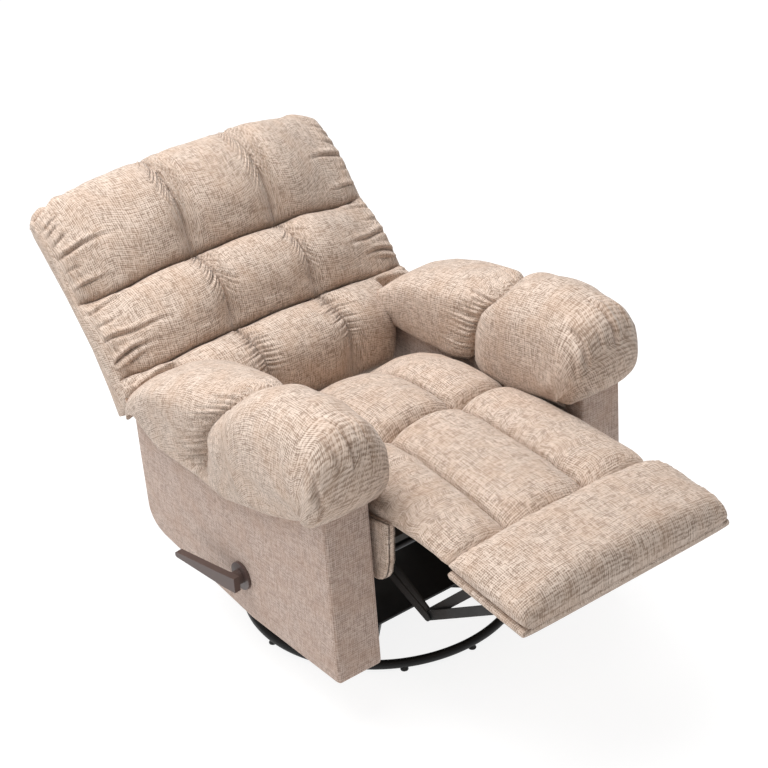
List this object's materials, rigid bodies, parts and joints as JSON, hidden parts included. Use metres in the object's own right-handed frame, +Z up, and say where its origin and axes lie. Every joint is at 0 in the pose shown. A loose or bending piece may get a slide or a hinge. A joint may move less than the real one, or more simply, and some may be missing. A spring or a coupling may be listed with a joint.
{
  "type": "swivel glider recliner",
  "caption": "Overstuffed nursery glider recliner with channelled cushions, padded arms, fold-out footrest, release lever and round swivel base.",
  "frame": {"origin": "on the floor, under the middle of the whole chair in its reclined rest pose", "axes": "+Z up, +Y towards the back of the chair, +X towards the sitter's left; the chair faces -Y"},
  "size_m": [0.9496, 1.6862, 0.9519],
  "materials": {
    "base_steel": "satin",
    "black_steel": "satin",
    "bare_steel": "satin",
    "foot_plastic": "matte",
    "lever_plastic": "satin",
    "cushion_fabric": "matte",
    "panel_fabric": "matte",
    "dust_cloth": "matte",
    "seat_timber": "matte"
  },
  "bodies": {
    "base": {"base_ring": "base_steel", "base_cross": "base_steel", "bearing_lower": "bare_steel", "glide_foot_01": "foot_plastic", "glide_foot_02": "foot_plastic", "glide_foot_03": "foot_plastic", "glide_foot_04": "foot_plastic", "glide_foot_05": "foot_plastic", "glide_foot_06": "foot_plastic", "glide_foot_07": "foot_plastic", "glide_foot_08": "foot_plastic", "glide_foot_09": "foot_plastic", "glide_foot_10": "foot_plastic", "glide_foot_11": "foot_plastic", "glide_foot_12": "foot_plastic"},
    "swivel": {"bearing_upper": "bare_steel", "swivel_frame": "black_steel"},
    "glide_link_front_left": {"glide_link_front_left": "black_steel"},
    "glide_link_front_right": {"glide_link_front_right": "black_steel"},
    "glide_link_rear_left": {"glide_link_rear_left": "black_steel"},
    "glide_link_rear_right": {"glide_link_rear_right": "black_steel"},
    "body": {"glide_frame": "black_steel", "arm_panel_left": "panel_fabric", "arm_panel_right": "panel_fabric", "arm_pillow_left": "cushion_fabric", "arm_pillow_right": "cushion_fabric", "slide_angle_left": "black_steel", "slide_angle_right": "black_steel", "lever_escutcheon": "lever_plastic"},
    "lever": {"recline_lever": "lever_plastic"},
    "seat": {"seat_rail_left": "seat_timber", "seat_rail_right": "seat_timber", "seat_deck": "seat_timber", "dust_panel": "dust_cloth", "drive_rod": "bare_steel", "mechanism_plate_left": "black_steel", "mechanism_plate_right": "black_steel", "seat_cushion": "cushion_fabric", "chaise_pad": "cushion_fabric"},
    "back": {"back_shell": "panel_fabric", "back_cushion_lower": "cushion_fabric", "back_cushion_middle": "cushion_fabric", "back_cushion_top": "cushion_fabric", "back_bracket_left": "black_steel", "back_bracket_right": "black_steel"},
    "footrest": {"footrest_board": "panel_fabric", "footrest_pad": "cushion_fabric", "footrest_bracket_left": "black_steel", "footrest_bracket_right": "black_steel"},
    "footrest_arm_short_left": {"footrest_arm_short_left": "black_steel"},
    "footrest_link_short_left": {"footrest_link_short_left": "black_steel"},
    "footrest_arm_short_right": {"footrest_arm_short_right": "black_steel"},
    "footrest_link_short_right": {"footrest_link_short_right": "black_steel"},
    "footrest_arm_long_left": {"footrest_arm_long_left": "black_steel"},
    "footrest_link_long_left": {"footrest_link_long_left": "black_steel"},
    "footrest_arm_long_right": {"footrest_arm_long_right": "black_steel"},
    "footrest_link_long_right": {"footrest_link_long_right": "black_steel"}
  },
  "joints": [
    {"name": "swivel_turn", "type": "hinge", "parent": "base", "child": "swivel", "pos_m": [0, 0.016, 0.042], "axis": [0, 0, 1], "continuous": true},
    {"name": "glide_front_left", "type": "hinge", "parent": "swivel", "child": "glide_link_front_left", "pos_m": [0.2145, -0.134, 0.25], "axis": [1, 0, 0], "range_deg": [-20, 20]},
    {"name": "glide_front_right", "type": "hinge", "parent": "swivel", "child": "glide_link_front_right", "pos_m": [-0.2145, -0.134, 0.25], "axis": [1, 0, 0], "range_deg": [-20, 20]},
    {"name": "glide_rear_left", "type": "hinge", "parent": "swivel", "child": "glide_link_rear_left", "pos_m": [0.2145, 0.166, 0.25], "axis": [1, 0, 0], "range_deg": [-20, 20]},
    {"name": "glide_rear_right", "type": "hinge", "parent": "swivel", "child": "glide_link_rear_right", "pos_m": [-0.2145, 0.166, 0.25], "axis": [1, 0, 0], "range_deg": [-20, 20]},
    {"name": "glide_body", "type": "hinge", "parent": "glide_link_front_left", "child": "body", "pos_m": [0.2145, -0.134, 0.105], "axis": [1, 0, 0], "range_deg": [-20, 20]},
    {"name": "seat_slide", "type": "slide", "parent": "body", "child": "seat", "axis": [0, 1, 0], "range_m": [0, 0.101]},
    {"name": "back_recline", "type": "hinge", "parent": "seat", "child": "back", "pos_m": [0, 0.346, 0.4], "axis": [1, 0, 0], "range_deg": [0, 35]},
    {"name": "footrest_fold", "type": "hinge", "parent": "seat", "child": "footrest", "pos_m": [0, -0.474, 0.553], "axis": [1, 0, 0], "range_deg": [0, 84.5]},
    {"name": "footrest_arm_short_left", "type": "hinge", "parent": "seat", "child": "footrest_arm_short_left", "pos_m": [0.228, -0.314, 0.375], "axis": [1, 0, 0], "range_deg": [0, 85.7]},
    {"name": "footrest_link_short_left", "type": "hinge", "parent": "footrest", "child": "footrest_link_short_left", "pos_m": [0.228, -0.6219, 0.4449], "axis": [1, 0, 0], "range_deg": [-94.14, 0]},
    {"name": "footrest_arm_short_right", "type": "hinge", "parent": "seat", "child": "footrest_arm_short_right", "pos_m": [-0.228, -0.314, 0.375], "axis": [1, 0, 0], "range_deg": [0, 85.7]},
    {"name": "footrest_link_short_right", "type": "hinge", "parent": "footrest", "child": "footrest_link_short_right", "pos_m": [-0.228, -0.6219, 0.4449], "axis": [1, 0, 0], "range_deg": [-94.14, 0]},
    {"name": "footrest_arm_long_left", "type": "hinge", "parent": "seat", "child": "footrest_arm_long_left", "pos_m": [0.2475, -0.264, 0.39], "axis": [1, 0, 0], "range_deg": [0, 92.91]},
    {"name": "footrest_link_long_left", "type": "hinge", "parent": "footrest", "child": "footrest_link_long_left", "pos_m": [0.2475, -0.6914, 0.4367], "axis": [1, 0, 0], "range_deg": [-87.59, 0]},
    {"name": "footrest_arm_long_right", "type": "hinge", "parent": "seat", "child": "footrest_arm_long_right", "pos_m": [-0.2475, -0.264, 0.39], "axis": [1, 0, 0], "range_deg": [0, 92.91]},
    {"name": "footrest_link_long_right", "type": "hinge", "parent": "footrest", "child": "footrest_link_long_right", "pos_m": [-0.2475, -0.6914, 0.4367], "axis": [1, 0, 0], "range_deg": [-87.59, 0]},
    {"name": "lever_turn", "type": "hinge", "parent": "body", "child": "lever", "pos_m": [-0.45, -0.028, 0.26], "axis": [1, 0, 0], "range_deg": [0, 85]}
  ],
  "couplings": [
    {"joint": "glide_front_right", "follows": "glide_front_left", "ratio": 1},
    {"joint": "glide_rear_left", "follows": "glide_front_left", "ratio": 1},
    {"joint": "glide_rear_right", "follows": "glide_front_left", "ratio": 1},
    {"joint": "glide_body", "follows": "glide_front_left", "ratio": -1},
    {"joint": "seat_slide", "follows": "back_recline", "m_per_rad": 0.1637},
    {"joint": "footrest_arm_short_left", "follows": "footrest_fold", "ratio": 1.0083},
    {"joint": "footrest_link_short_left", "follows": "footrest_fold", "ratio": -1.1082},
    {"joint": "footrest_arm_short_right", "follows": "footrest_fold", "ratio": 1.0083},
    {"joint": "footrest_link_short_right", "follows": "footrest_fold", "ratio": -1.1082},
    {"joint": "footrest_arm_long_left", "follows": "footrest_fold", "ratio": 1.0936},
    {"joint": "footrest_link_long_left", "follows": "footrest_fold", "ratio": -1.0307},
    {"joint": "footrest_arm_long_right", "follows": "footrest_fold", "ratio": 1.0936},
    {"joint": "footrest_link_long_right", "follows": "footrest_fold", "ratio": -1.0307},
    {"joint": "lever_turn", "follows": "footrest_fold", "ratio": 1}
  ]
}
